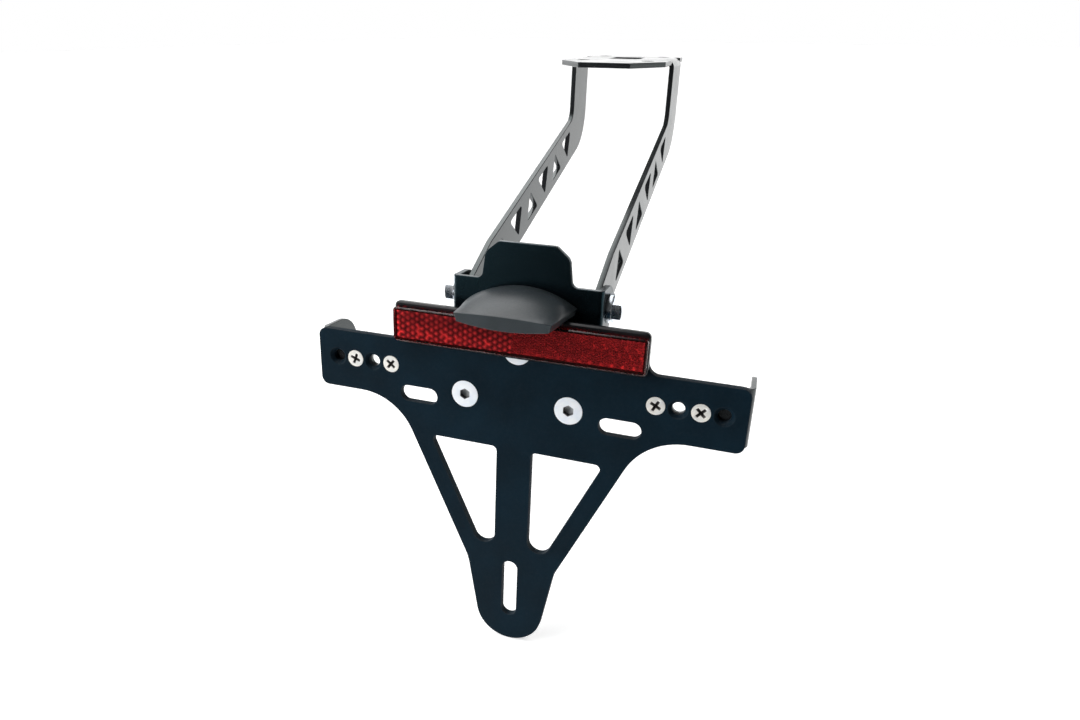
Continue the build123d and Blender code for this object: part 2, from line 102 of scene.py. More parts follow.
# Kinds of prism corner, where a valley is 0, and the seed of the uneven painted light on them
SLOPE = 1
PEAK = 2
PRISM_SEED = 3

# Fixed values of the materials
CLEAR_IOR = 1.49
COAT_IOR = 1.52
COAT_DUST = (0.35, 0.34, 0.32)
PLASTIC_DUST = (0.4, 0.4, 0.38)
COOL_CAST = (0.86, 0.9, 0.96)
WINDOW_COLOURS = ((0.88, 0.9, 0.92), (0.96, 0.97, 0.98))
BOARD_COLOURS = ((0.01, 0.09, 0.035), (0.03, 0.17, 0.07))
CHIP_COLOURS = ((0.8, 0.62, 0.12), (0.85, 0.83, 0.7))
FLOOR_COLOUR = (0.86, 0.86, 0.86, 1.0)
FLOOR_GLOW = 0.5

# Range that noise mostly keeps to, and the row in which a tree's nodes stand
NOISE_LOW = 0.3
NOISE_HIGH = 0.7
NODE_STEP = 180
NODE_ROOM = 30


class TidyFinish(PropertyGroup):
    """Colours and gloss of the finishes."""

    carrier: FloatVectorProperty(
        name="Carrier coat", description="Satin coat of the tail carrier and indicator brackets",
        subtype="COLOR", size=3, min=0, max=1, default=(0.012, 0.013, 0.015))
    # Near-black coat with a blue cast painted in, standing in for bluish room light
    bracket: FloatVectorProperty(
        name="Bracket coat", description="Semi-gloss coat of the tilt bracket",
        subtype="COLOR", size=3, min=0, max=1, default=(0.001, 0.0022, 0.0032))
    # Near-black coat with a blue-green cast painted in, standing in for bluish light in the shade
    plate: FloatVectorProperty(
        name="Plate coat", description="Matt coat of the plate carrier",
        subtype="COLOR", size=3, min=0, max=1, default=(0.003, 0.0115, 0.0195))
    edge: FloatVectorProperty(
        name="Thin coat", description="Paler coat where it runs thin on the edges",
        subtype="COLOR", size=3, min=0, max=1, default=(0.045, 0.05, 0.055))
    hood: FloatVectorProperty(
        name="Hood plastic", description="Grained plastic of the light's hood",
        subtype="COLOR", size=3, min=0, max=1, default=(0.025, 0.033, 0.038))
    tray: FloatVectorProperty(
        name="Tray plastic", description="Smooth plastic of the reflector's tray",
        subtype="COLOR", size=3, min=0, max=1, default=(0.008, 0.009, 0.011))
    lens: FloatVectorProperty(
        name="Lens", description="Clear red cover of the reflector",
        subtype="COLOR", size=3, min=0, max=1, default=(0.98, 0.06, 0.06))
    # Painted highlight and painted shade: the prisms' bright corners and their unlit faces are painted into
    # their colour
    prism: FloatVectorProperty(
        name="Prism", description="Lit corners of the reflector's prisms",
        subtype="COLOR", size=3, min=0, max=1, default=(1.0, 0.6, 0.6))
    prism_painted_shade: FloatVectorProperty(
        name="Prism shade", description="Unlit faces of the reflector's prisms",
        subtype="COLOR", size=3, min=0, max=1, default=(0.06, 0.1, 0.14))
    zinc: FloatVectorProperty(
        name="Bright zinc", description="Plating of the bolts, studs, nuts, washers and spacers",
        subtype="COLOR", size=3, min=0, max=1, default=(0.93, 0.96, 0.98))
    cream_zinc: FloatVectorProperty(
        name="Warm zinc", description="Plating of the cross-head screws of the indicator brackets",
        subtype="COLOR", size=3, min=0, max=1, default=(0.90, 0.87, 0.80))
    # Painted shade: a dark colour mixed into the hollows of the bolt and screw heads, where shade falls
    recess: FloatVectorProperty(
        name="Recess", description="Dark bottom of the bolts' recesses",
        subtype="COLOR", size=3, min=0, max=1, default=(0.03, 0.028, 0.026))
    coat_roughness: FloatProperty(
        name="Coat roughness", description="Roughness of the satin coat",
        subtype="FACTOR", min=0, max=1, default=0.16)


class TidySizes(PropertyGroup):
    """Sizes that a user would change."""

    lean: FloatProperty(
        name="Plate lean", description="Lean of the plate unit at rest",
        subtype="ANGLE", unit="ROTATION", default=radians(6.5))
    sheet_edge: FloatProperty(
        name="Sheet edge", description="Rounding of the coated sheets' edges",
        unit="LENGTH", precision=5, default=0.3 * MM)
    plate_edge: FloatProperty(
        name="Plate edge", description="Rounding of the plate carrier's edges",
        unit="LENGTH", precision=5, default=0.14 * MM)
    small_edge: FloatProperty(
        name="Small edge", description="Rounding of washers, nuts, spacers and the reflector",
        unit="LENGTH", precision=5, default=0.15 * MM)
    hood_edge: FloatProperty(
        name="Hood edge", description="Rounding of the hood's edges",
        unit="LENGTH", precision=5, default=0.3 * MM)
    chip_edge: FloatProperty(
        name="Chip edge", description="Rounding of the light's window and chips",
        unit="LENGTH", precision=5, default=0.1 * MM)
    board_edge: FloatProperty(
        name="Board edge", description="Rounding of the light's board",
        unit="LENGTH", precision=5, default=0.05 * MM)
    m6_pitch: FloatProperty(
        name="M6 pitch", description="Rise of an M6 thread in one turn",
        unit="LENGTH", precision=5, default=1.0 * MM)
    m5_pitch: FloatProperty(
        name="M5 pitch", description="Rise of an M5 thread in one turn",
        unit="LENGTH", precision=5, default=0.8 * MM)
    m4_pitch: FloatProperty(
        name="M4 pitch", description="Rise of an M4 thread in one turn",
        unit="LENGTH", precision=5, default=0.7 * MM)
    coarse_prism: FloatProperty(
        name="Coarse prism", description="Spacing of the prism corners left of the middle",
        unit="LENGTH", precision=5, default=1.39 * MM)
    fine_prism: FloatProperty(
        name="Fine prism", description="Spacing of the prism corners right of the middle",
        unit="LENGTH", precision=5, default=0.695 * MM)
    prism_row: FloatProperty(
        name="Prism row", description="Distance between the stars and streaks of the fine prisms",
        unit="LENGTH", precision=5, default=4.17 * MM)
    prism_depth: FloatProperty(
        name="Prism depth", description="Depth of the prisms from peak to valley",
        unit="LENGTH", precision=5, default=0.8 * MM)
    prism_rim: FloatProperty(
        name="Prism rim", description="Plain rim of the lens around its prisms",
        unit="LENGTH", precision=5, default=1.4 * MM)
    prism_split: FloatProperty(
        name="Prism split", description="Place where coarse prisms give way to fine ones",
        unit="LENGTH", precision=5, default=-1.0 * MM)


class TidyStage(PropertyGroup):
    """Camera and light."""

    eye: FloatVectorProperty(
        name="Eye", description="Place of the camera",
        subtype="TRANSLATION", unit="LENGTH", size=3, precision=5,
        default=(0.08384, -0.41318, 0.01700))
    turn: FloatVectorProperty(
        name="Turn", description="Rotation of the camera",
        subtype="EULER", unit="ROTATION", size=3,
        default=(radians(64.2141), radians(-0.4582), radians(17.9092)))
    lens: FloatProperty(
        name="Lens", description="Focal length in millimetres",
        unit="CAMERA", default=23.2238)
    key_power: FloatProperty(
        name="Key power", description="Power of the soft lamp on the left",
        unit="POWER", default=16.0)
    backdrop: FloatProperty(
        name="Backdrop", description="Strength of the white backdrop ahead",
        min=0, max=4, default=1.5)
    overhead: FloatProperty(
        name="Overhead", description="Strength of the soft light overhead on the left",
        min=0, max=4, default=3.0)
    side: FloatProperty(
        name="Side", description="Strength of the room on the left",
        min=0, max=4, default=1.3)
    shade: FloatProperty(
        name="Shade", description="Strength of the rest of the room",
        min=0, max=4, default=0.06)


def finish():
    """Finish settings of the scene."""
    return bpy.context.scene.tidy_finish


def sizes():
    """Size settings of the scene."""
    return bpy.context.scene.tidy_sizes


# Node trees

def add_node(tree, kind, **values):
    """New node of a kind, one step right of the last, with some of its settings or input values."""
    node = tree.nodes.new(kind)
    node.location.x = NODE_STEP * (len(tree.nodes) - NODE_ROOM)
    for name, value in values.items():
        if hasattr(node, name):
            setattr(node, name, value)
        else:
            node.inputs[name.replace("_", " ")].default_value = value
    return node


def math_node(tree, operation, first, second):
    """Math node between two sockets, or a socket and a number."""
    node = add_node(tree, "ShaderNodeMath", operation=operation)
    for socket, value in zip(node.inputs, (first, second)):
        if isinstance(value, (int, float)):
            socket.default_value = value
        else:
            tree.links.new(value, socket)
    return node.outputs[0]


def map_range(tree, value, start, end, low=0.0, high=1.0, **settings):
    """Value moved from one range to another and held at its ends."""
    node = add_node(tree, "ShaderNodeMapRange", **settings)
    for title, number in (("From Min", start), ("From Max", end), ("To Min", low), ("To Max", high)):
        node.inputs[title].default_value = number
    tree.links.new(value, node.inputs["Value"])
    return node.outputs[0]


def spread(tree, value, low, high):
    """Noise stretched from its usual range to a range of its own."""
    return map_range(tree, value, NOISE_LOW, NOISE_HIGH, low, high)


def object_coords(tree):
    """Coordinates of the object itself."""
    return add_node(tree, "ShaderNodeTexCoord").outputs["Object"]


def noise(tree, vector, size, detail):
    """Noise whose grains have the size that a socket gives."""
    node = add_node(tree, "ShaderNodeTexNoise", Detail=detail)
    tree.links.new(vector, node.inputs["Vector"])
    tree.links.new(math_node(tree, "DIVIDE", 1.0, size), node.inputs["Scale"])
    return node.outputs["Fac"]


def colour_mix(tree, mask, first, second):
    """Mix of two colours by a mask; each colour is a socket or three numbers."""
    node = add_node(tree, "ShaderNodeMix", data_type="RGBA")
    tree.links.new(mask, node.inputs["Factor"])
    for title, colour in (("A", first), ("B", second)):
        socket = [s for s in node.inputs if s.name == title and s.type == "RGBA"][0]
        if hasattr(colour, "is_linked"):
            tree.links.new(colour, socket)
        else:
            socket.default_value = (*colour, 1.0)
    return [s for s in node.outputs if s.type == "RGBA"][0]


def mottled(tree, value, first, second):
    """Mix of two colours by noise."""
    return colour_mix(tree, spread(tree, value, 0.0, 1.0), first, second)


def tinted(colour, factor):
    """Colour made lighter or darker."""
    return tuple(min(1.0, c * factor) for c in colour)


# Shared effects

def new_group(name, inputs, outputs):
    """Empty shader node group with named value sockets."""
    tree = bpy.data.node_groups.new(name, "ShaderNodeTree")
    for title, default in inputs:
        socket = tree.interface.new_socket(title, in_out="INPUT", socket_type="NodeSocketFloat")
        socket.default_value = default
    for title in outputs:
        tree.interface.new_socket(title, in_out="OUTPUT", socket_type="NodeSocketFloat")
    start = add_node(tree, "NodeGroupInput")
    end = add_node(tree, "NodeGroupOutput")
    end.location.x = 0
    return tree, start, end


def build_surface_grain():
    """Group: fine grain height and slow mottling of a surface."""
    inputs = [("Grain", 0.6 * MM), ("Mottle Size", 20 * MM)]
    tree, start, end = new_group("surface_grain", inputs, ["Height", "Mottle"])
    coords = object_coords(tree)
    height = noise(tree, coords, start.outputs["Grain"], detail=3.0)
    mottle = noise(tree, coords, start.outputs["Mottle Size"], detail=6.0)
    tree.links.new(height, end.inputs["Height"])
    tree.links.new(mottle, end.inputs["Mottle"])
    return tree


def build_edge_wear():
    """Group: mask of the edges, broken up by noise."""
    inputs = [("Reach", 0.5 * MM), ("Break Up", 4 * MM)]
    tree, start, end = new_group("edge_wear", inputs, ["Edge"])
    bevel = add_node(tree, "ShaderNodeBevel", samples=4)
    tree.links.new(start.outputs["Reach"], bevel.inputs["Radius"])
    facing = add_node(tree, "ShaderNodeNewGeometry")
    product = add_node(tree, "ShaderNodeVectorMath", operation="DOT_PRODUCT")
    tree.links.new(bevel.outputs["Normal"], product.inputs[0])
    tree.links.new(facing.outputs["Normal"], product.inputs[1])
    bent = map_range(tree, product.outputs["Value"], start=0.999, end=0.9)
    broken = noise(tree, object_coords(tree), start.outputs["Break Up"], detail=4.0)
    tree.links.new(math_node(tree, "MULTIPLY", bent, broken), end.inputs["Edge"])
    return tree


def build_settled_dust():
    """Group: mask of the dust that settles on faces that point up."""
    inputs = [("Amount", 0.1), ("Speck", 1.5 * MM)]
    tree, start, end = new_group("settled_dust", inputs, ["Dust"])
    facing = add_node(tree, "ShaderNodeNewGeometry")
    split = add_node(tree, "ShaderNodeSeparateXYZ")
    tree.links.new(facing.outputs["Normal"], split.inputs[0])
    level = math_node(tree, "MAXIMUM", split.outputs["Z"], 0.0)
    specks = noise(tree, object_coords(tree), start.outputs["Speck"], detail=5.0)
    specks = math_node(tree, "POWER", specks, 3.0)
    dust = math_node(tree, "MULTIPLY", level, specks)
    dust = math_node(tree, "MULTIPLY", dust, start.outputs["Amount"])
    tree.links.new(dust, end.inputs["Dust"])
    return tree


def build_turned_lines():
    """Group: fine uneven lines of a plated, machined surface."""
    inputs = [("Line", 0.2 * MM), ("Spread", 4 * MM)]
    tree, start, end = new_group("turned_lines", inputs, ["Lines", "Cloud"])
    coords = object_coords(tree)
    stretch = add_node(tree, "ShaderNodeMapping", Scale=(1.0, 0.08, 1.0))
    tree.links.new(coords, stretch.inputs["Vector"])
    lines = noise(tree, stretch.outputs[0], start.outputs["Line"], detail=3.0)
    cloud = noise(tree, coords, start.outputs["Spread"], detail=5.0)
    tree.links.new(lines, end.inputs["Lines"])
    tree.links.new(cloud, end.inputs["Cloud"])
    return tree


GROUPS = {
    "surface_grain": build_surface_grain,
    "edge_wear": build_edge_wear,
    "settled_dust": build_settled_dust,
    "turned_lines": build_turned_lines,
}


def use_group(tree, name, **values):
    """Node that places a shared group, with its own values."""
    group = bpy.data.node_groups.get(name) or GROUPS[name]()
    node = add_node(tree, "ShaderNodeGroup")
    node.node_tree = group
    for title, value in values.items():
        node.inputs[title.replace("_", " ")].default_value = value
    return node


# Materials

def new_material(name, **values):
    """Material with one Principled shader and plain values on its sockets."""
    material = bpy.data.materials.new(name)
    material.use_nodes = True
    shader = material.node_tree.nodes["Principled BSDF"]
    for title, value in values.items():
        shader.inputs[title.replace("_", " ")].default_value = value
    return material, material.node_tree, shader


def bump(tree, shader, height, strength, depth):
    """Bump of a height into the shader's normal."""
    node = add_node(tree, "ShaderNodeBump", Strength=strength, Distance=depth)
    tree.links.new(height, node.inputs["Height"])
    tree.links.new(node.outputs[0], shader.inputs["Normal"])


def lead_in(tree, shader, base, rough):
    """Link a colour and a roughness to a shader."""
    tree.links.new(base, shader.inputs["Base Color"])
    tree.links.new(rough, shader.inputs["Roughness"])


def coat_material(name, colour, roughness, gloss, grain, tint=(1.0, 1.0, 1.0)):
    """Powder coat: orange peel, mottling, thin edges and a little dust."""
    # Painted reflection colour: the specular tint colours the coat's reflections in place of a bluish room
    # light
    material, tree, shader = new_material(
        name, Specular_IOR_Level=gloss, Specular_Tint=(*tint, 1.0), IOR=COAT_IOR)
    peel = use_group(tree, "surface_grain", Grain=grain, Mottle_Size=18 * MM)
    wear = use_group(tree, "edge_wear", Reach=0.6 * MM, Break_Up=3 * MM)
    dust = use_group(tree, "settled_dust", Amount=0.18, Speck=1.2 * MM)
    base = mottled(tree, peel.outputs["Mottle"], tinted(colour, 0.8), tinted(colour, 1.25))
    base = colour_mix(tree, wear.outputs["Edge"], base, finish().edge)
    base = colour_mix(tree, dust.outputs["Dust"], base, COAT_DUST)
    rough = spread(tree, peel.outputs["Mottle"], roughness - 0.04, roughness + 0.05)
    lead_in(tree, shader, base, rough)
    bump(tree, shader, peel.outputs["Height"], strength=0.35, depth=0.04 * MM)
    return material


def plated_material(name, colour, roughness, metallic):
    """Zinc plating: cloudy tint, fine lines, bright edges and painted shade in the recesses."""
    material, tree, shader = new_material(name, Metallic=metallic)
    lines = use_group(tree, "turned_lines", Line=0.25 * MM, Spread=3.5 * MM)
    wear = use_group(tree, "edge_wear", Reach=0.3 * MM, Break_Up=1.5 * MM)
    cool = [c * cast for c, cast in zip(colour, COOL_CAST)]
    base = mottled(tree, lines.outputs["Cloud"], cool, colour)
    base = colour_mix(tree, wear.outputs["Edge"], base, tinted(colour, 1.1))
    # Painted shade: the recess mask darkens the heads' hollows toward the recess colour
    recess = add_node(tree, "ShaderNodeAttribute", attribute_name="recess")
    base = colour_mix(tree, recess.outputs["Fac"], base, finish().recess)
    rough = spread(tree, lines.outputs["Cloud"], roughness - 0.06, roughness + 0.1)
    lead_in(tree, shader, base, rough)
    bump(tree, shader, lines.outputs["Lines"], strength=0.06, depth=0.03 * MM)
    return material


def moulded_material(name, colour, roughness, gloss, grain, depth, wear_tint):
    """Moulded plastic with a grained skin, worn edges and a little dust."""
    material, tree, shader = new_material(name, Specular_IOR_Level=gloss)
    skin = use_group(tree, "surface_grain", Grain=grain, Mottle_Size=12 * MM)
    wear = use_group(tree, "edge_wear", Reach=0.5 * MM, Break_Up=2 * MM)
    dust = use_group(tree, "settled_dust", Amount=0.1, Speck=0.9 * MM)
    base = mottled(tree, skin.outputs["Mottle"], tinted(colour, 0.85), tinted(colour, 1.2))
    base = colour_mix(tree, wear.outputs["Edge"], base, tinted(colour, wear_tint))
    base = colour_mix(tree, dust.outputs["Dust"], base, PLASTIC_DUST)
    rough = spread(tree, skin.outputs["Height"], roughness - 0.05, roughness + 0.07)
    lead_in(tree, shader, base, rough)
    bump(tree, shader, skin.outputs["Height"], strength=0.5, depth=depth)
    return material


def carrier_coat():
    """Satin coat of the tail carrier and indicator brackets, made once."""
    made = bpy.data.materials.get("carrier_coat")
    # Painted reflection colour: the faint blue-green specular tint stands in for bluish room light
    return made or coat_material(
        "carrier_coat", finish().carrier, finish().coat_roughness,
        gloss=0.64, grain=0.7 * MM, tint=(0.88, 1.0, 1.0))


def bright_zinc():
    """Bright plating of most fasteners, made once."""
    made = bpy.data.materials.get("bright_zinc")
    return made or plated_material("bright_zinc", finish().zinc, roughness=0.24, metallic=1.0)


def red_lens():
    """Clear red cover, a little uneven."""
    material, tree, shader = new_material(
        "red_lens", Transmission_Weight=1.0, IOR=CLEAR_IOR, Specular_IOR_Level=0.5)
    skin = use_group(tree, "surface_grain", Grain=4 * MM, Mottle_Size=20 * MM)
    mottle = skin.outputs["Mottle"]
    base = mottled(tree, mottle, tinted(finish().lens, 0.92), tinted(finish().lens, 1.06))
    lead_in(tree, shader, base, spread(tree, mottle, 0.0, 0.02))
    bump(tree, shader, skin.outputs["Height"], strength=0.1, depth=0.04 * MM)
    return material


def prism_red():
    """Silvered prisms with painted light: painted shade on the faces and painted highlights at the corners,
    by the painted light of each corner.
    """
    material, tree, shader = new_material("prism_red", Metallic=0.35, Roughness=0.3)
    painted_light = add_node(tree, "ShaderNodeAttribute", attribute_name="painted_light")
    grain = use_group(tree, "surface_grain", Grain=0.6 * MM, Mottle_Size=3 * MM)
    # Painted light: each corner's painted highlight or shade, made uneven by grain, mixes the two prism
    # colours
    contrast = math_node(tree, "POWER", painted_light.outputs["Fac"], 1.6)
    uneven = spread(tree, grain.outputs["Mottle"], 0.75, 1.15)
    mask = math_node(tree, "MULTIPLY", contrast, uneven)
    base = colour_mix(tree, mask, finish().prism_painted_shade, finish().prism)
    tree.links.new(base, shader.inputs["Base Color"])
    bump(tree, shader, grain.outputs["Height"], strength=0.2, depth=0.05 * MM)
    return material


def clear_window():
    """Clear window with a frosted skin."""
    material, tree, shader = new_material("clear_window", Transmission_Weight=1.0, IOR=CLEAR_IOR)
    skin = use_group(tree, "surface_grain", Grain=0.8 * MM, Mottle_Size=6 * MM)
    base = mottled(tree, skin.outputs["Mottle"], *WINDOW_COLOURS)
    lead_in(tree, shader, base, spread(tree, skin.outputs["Height"], 0.08, 0.2))
    bump(tree, shader, skin.outputs["Height"], strength=0.3, depth=0.05 * MM)
    return material


def board_green():
    """Green board with paler tracks."""
    material, tree, shader = new_material("board_green", Specular_IOR_Level=0.5)
    tracks = add_node(tree, "ShaderNodeTexWave", Scale=260.0, Distortion=1.5)
    tree.links.new(object_coords(tree), tracks.inputs["Vector"])
    grain = use_group(tree, "surface_grain", Grain=0.5 * MM, Mottle_Size=4 * MM)
    sharp = math_node(tree, "GREATER_THAN", tracks.outputs["Fac"], 0.62)
    base = colour_mix(tree, sharp, *BOARD_COLOURS)
    lead_in(tree, shader, base, spread(tree, grain.outputs["Mottle"], 0.3, 0.45))
    bump(tree, shader, tracks.outputs["Fac"], strength=0.2, depth=0.05 * MM)
    return material


def chip_yellow():
    """Pale chip bodies with yellow patches."""
    material, tree, shader = new_material("chip_yellow", Specular_IOR_Level=0.5)
    grain = use_group(tree, "surface_grain", Grain=0.3 * MM, Mottle_Size=1.4 * MM)
    base = mottled(tree, grain.outputs["Mottle"], *CHIP_COLOURS)
    lead_in(tree, shader, base, spread(tree, grain.outputs["Height"], 0.25, 0.4))
    bump(tree, shader, grain.outputs["Height"], strength=0.2, depth=0.03 * MM)
    return material


# Places and pieces

def unit_place():
    """Placement of the plate unit's own axes: at the pivot, leaning."""
    return Matrix.Translation(PIVOT) @ Matrix.Rotation(-sizes().lean, 4, "X")


def welded_copy(node):
    """Mesh of a CAD node with its corners joined."""
    bm = bmesh.new()
    bm.from_mesh(frame["nodes"][node].data)
    bmesh.ops.remove_doubles(bm, verts=bm.verts, dist=WELD)
    return bm


def solids_of(node):
    """Lowest and highest corners of each solid of a node, in the plate unit's own axes."""
    bm = welded_copy(node)
    to_unit = unit_place().inverted()
    waiting = set(bm.verts)
    boxes = []
    while waiting:
        stack = [waiting.pop()]
        points = []
        while stack:
            vert = stack.pop()
            points.append(to_unit @ vert.co)
            for edge in vert.link_edges:
                other = edge.other_vert(vert)
                if other in waiting:
                    waiting.remove(other)
                    stack.append(other)
        low = [min(p[i] for p in points) for i in range(3)]
        high = [max(p[i] for p in points) for i in range(3)]
        boxes.append((low, high))
    bm.free()
    return sorted(boxes)


def bolts_of(node, rearward=False):
    """Placement with +Z from the head to the tip, length and head radius of each bolt of a node."""
    for low, high in solids_of(node):
        x, _, z = [(a + b) / 2 for a, b in zip(low, high)]
        head_end = high[1] if rearward else low[1]
        turn = pi / 2 if rearward else -pi / 2
        place = unit_place() @ Matrix.Translation((x, head_end, z)) @ Matrix.Rotation(turn, 4, "X")
        yield place, high[1] - low[1], (high[0] - low[0]) / 2


def make_piece(name, bm, material, body, nodes=(), smooth=SMOOTH_ANGLE):
    """Object of a finished mesh that rides on a body and stands for CAD nodes."""
    bmesh.ops.recalc_face_normals(bm, faces=bm.faces)
    mesh = bpy.data.meshes.new(name)
    bm.to_mesh(mesh)
    bm.free()
    if not mesh.polygons:
        raise RuntimeError(f"{name} has no faces")
    mesh.shade_smooth()
    mesh.set_sharp_from_angle(angle=smooth)
    mesh.materials.append(material)
    piece = bpy.data.objects.new(name, mesh)
    bpy.context.scene.collection.objects.link(piece)
    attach(piece, body)
    if nodes:
        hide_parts(*nodes)
    return piece


def shown_piece(node, bm, material, body=UNIT):
    """Piece that stands for one CAD node and takes its name from it."""
    return make_piece(node + "_shown", bm, material, body, [node])


def rounded_piece(node, material, body, edge, chosen=None):
    """Copy of a CAD node with its sharp edges rounded, or a chosen few of them, which stands for it."""
    bm = welded_copy(node)
    bmesh.ops.dissolve_limit(bm, angle_limit=FLAT_ANGLE, verts=bm.verts, edges=bm.edges)
    sharp = [e for e in bm.edges if e.is_manifold and e.calc_face_angle() > SHARP_ANGLE]
    if chosen:
        sharp = [e for e in sharp if chosen(*(v.co for v in e.verts))]
    bmesh.ops.bevel(
        bm, geom=sharp, offset=edge, segments=2, profile=0.5, affect="EDGES", clamp_overlap=False)
    piece = shown_piece(node, bm, material, body)
    even = piece.modifiers.new("even_normals", "WEIGHTED_NORMAL")
    even.keep_sharp = True


# Round and threaded forms

def ring_stack(bm, rings, place):
    """Skin through rings: radius and height, as numbers or functions of the angle, and painted recess shade.
    """
    # Painted shade: each vertex keeps how much recess shade is painted on it
    layer = bm.verts.layers.float.get("recess") or bm.verts.layers.float.new("recess")
    rows = []
    for radius, height, *shade in rings:
        row = []
        for i in range(COLUMNS):
            angle = 2 * pi * i / COLUMNS
            r = radius(angle) if callable(radius) else radius
            h = height(angle) if callable(height) else height
            vert = bm.verts.new(place @ Vector((r * cos(angle), r * sin(angle), h)))
            vert[layer] = shade[0] if shade else 0.0
            row.append(vert)
        rows.append(row)
    for lower, upper in zip(rows, rows[1:]):
        for i in range(COLUMNS):
            j = (i + 1) % COLUMNS
            bm.faces.new((lower[i], lower[j], upper[j], upper[i]))
    bm.faces.new(rows[0])
    bm.faces.new(rows[-1])


def hexagon(flats):
    """Radius of a hexagon at an angle."""
    def radius(angle):
        return flats / 2 / cos((angle + pi / 6) % (pi / 3) - pi / 6)
    return radius


def cross(scale):
    """Radius of the cross recess at an angle, scaled about its middle."""
    def radius(angle):
        off = abs((angle + pi / 4) % (pi / 2) - pi / 4)
        side = CROSS_WIDTH / 2 / max(sin(off), TINY)
        return scale * min(CROSS_SPAN / 2 / cos(off), side)
    return radius


def thread(bm, radius, start, end, pitch, place):
    """Helical screw thread from a start to a chamfered end, around a plain core."""
    depth = 0.6 * pitch
    tip = 0.6 * MM
    chamfer = 0.1 * MM
    core = radius - depth - chamfer / 2
    # Share of a turn and drop below the crest, along the thread's profile
    steps = ((0.0, 0.0), (0.18, 0.0), (0.5, depth), (0.68, depth))
    rows = len(steps) * (ceil((end - start) / pitch) + 3)

    def corner(i, j):
        turn, step = divmod(j, len(steps))
        share, drop = steps[step]
        height = start + pitch * (turn - 1 + share + i / COLUMNS)
        height = min(max(height, start), end)
        r = min(radius - drop, radius - tip + (end - height))
        angle = 2 * pi * i / COLUMNS
        return Vector((r * cos(angle), r * sin(angle), height))

    local = [[corner(i, j) for j in range(rows)] for i in range(COLUMNS)]
    verts = [[bm.verts.new(place @ p) for p in column] for column in local]
    for i in range(COLUMNS):
        wrap = len(steps) if i == COLUMNS - 1 else 0
        k = (i + 1) % COLUMNS
        for j in range(rows - 1 - wrap):
            corners = ((i, j), (k, j + wrap), (k, j + 1 + wrap), (i, j + 1))
            heights = [local[c][r].z for c, r in corners]
            if max(heights) - min(heights) > SLIVER:
                bm.faces.new([verts[c][r] for c, r in corners])
    loose = [v for column in verts for v in column if not v.link_faces]
    bmesh.ops.delete(bm, geom=loose, context="VERTS")
    ring_stack(bm, [(core, start), (core, end - 2 * chamfer), (core - chamfer, end)], place)


def countersunk_head(bm, head, shank, recess, place):
    """Countersunk head with a recess whose rings are given from its floor up."""
    lip = 0.12 * MM
    rings = list(recess)
    rings += [(head - 4 * lip, 0.0), (head - 1.4 * lip, 0.25 * lip), (head - lip, lip)]
    rings += [(shank, head - shank), (shank * 0.6, head - shank + lip)]
    ring_stack(bm, rings, place)


def socket_recess():
    """Rings of a hexagon socket, from the drilled floor up, with the painted shade of each."""
    chamfer = 0.15 * MM
    inner = hexagon(SOCKET_FLATS)
    mouth = hexagon(SOCKET_FLATS + 2 * chamfer)
    return [
        (0.1 * MM, SOCKET_DEPTH + 0.5 * MM, 0.6),
        (SOCKET_FLATS * 0.42, SOCKET_DEPTH + 0.05 * MM, 0.6),
        (inner, SOCKET_DEPTH, 0.9),
        (inner, chamfer, 0.75),
        (mouth, 0.0),
    ]


def cross_recess():
    """Rings of a cross recess, from its floor up, with the painted shade of each."""
    return [
        (0.05 * MM, CROSS_DEPTH + 0.2 * MM, 1.0),
        (cross(0.45), CROSS_DEPTH, 1.0),
        (cross(0.94), 0.08 * MM, 0.9),
        (cross(1.0), 0.0),
    ]


def hex_head(bm, flats, height, place):
    """Hexagon head with turned-down corners, from its seat up."""
    outline = hexagon(flats)
    slope = tan(radians(30))
    crown = flats / 2 * 0.97

    def upper(angle):
        return height - (outline(angle) - flats / 2) * slope

    def lower(angle):
        return (outline(angle) - flats / 2) * slope * 0.4

    rings = [(crown * 0.9, 0.0), (crown, 0.0), (outline, lower), (outline, upper), (crown, height)]
    rings += [(crown * 0.75, height), (crown * 0.7, height - 0.15 * MM)]
    ring_stack(bm, rings, place)


def prism_sheet(bm, left, right, bottom, top, pitch, painted_light):
    """Sheet of cube-corner prisms over a rectangle in the rear view; a function gives each corner's painted
    light.
    """
    layer = bm.verts.layers.float.get("painted_light") or bm.verts.layers.float.new("painted_light")
    rise = pitch * sqrt(3) / 2
    step = sizes().prism_depth / 2
    points = {}
    for b in range(-1, ceil((top - bottom) / rise) + 2):
        for a in range(-2, ceil((right - left) / pitch) + 3):
            q = a - b // 2
            kind = (q - b) % 3
            x = left + (a + 0.5 * (b % 2)) * pitch
            z = bottom + b * rise
            points[q, b] = bm.verts.new((x, -step * kind, z))
            # Painted light: the value painted on each corner
            points[q, b][layer] = painted_light(kind, x, z)
    faces = []
    for (q, b) in list(points):
        for corners in (((q, b), (q + 1, b), (q, b + 1)), ((q + 1, b), (q + 1, b + 1), (q, b + 1))):
            if all(c in points for c in corners):
                faces.append(bm.faces.new([points[c] for c in corners]))
    for point, outward in (((left, 0, 0), (-1, 0, 0)), ((right, 0, 0), (1, 0, 0)),
                           ((0, 0, bottom), (0, 0, -1)), ((0, 0, top), (0, 0, 1))):
        verts = list({v for f in faces for v in f.verts})
        edges = list({e for f in faces for e in f.edges})
        cut = bmesh.ops.bisect_plane(
            bm, geom=verts + edges + faces, plane_co=point, plane_no=outward, clear_outer=True)
        faces = [g for g in cut["geom"] if isinstance(g, bmesh.types.BMFace) and g.is_valid]


# Operators

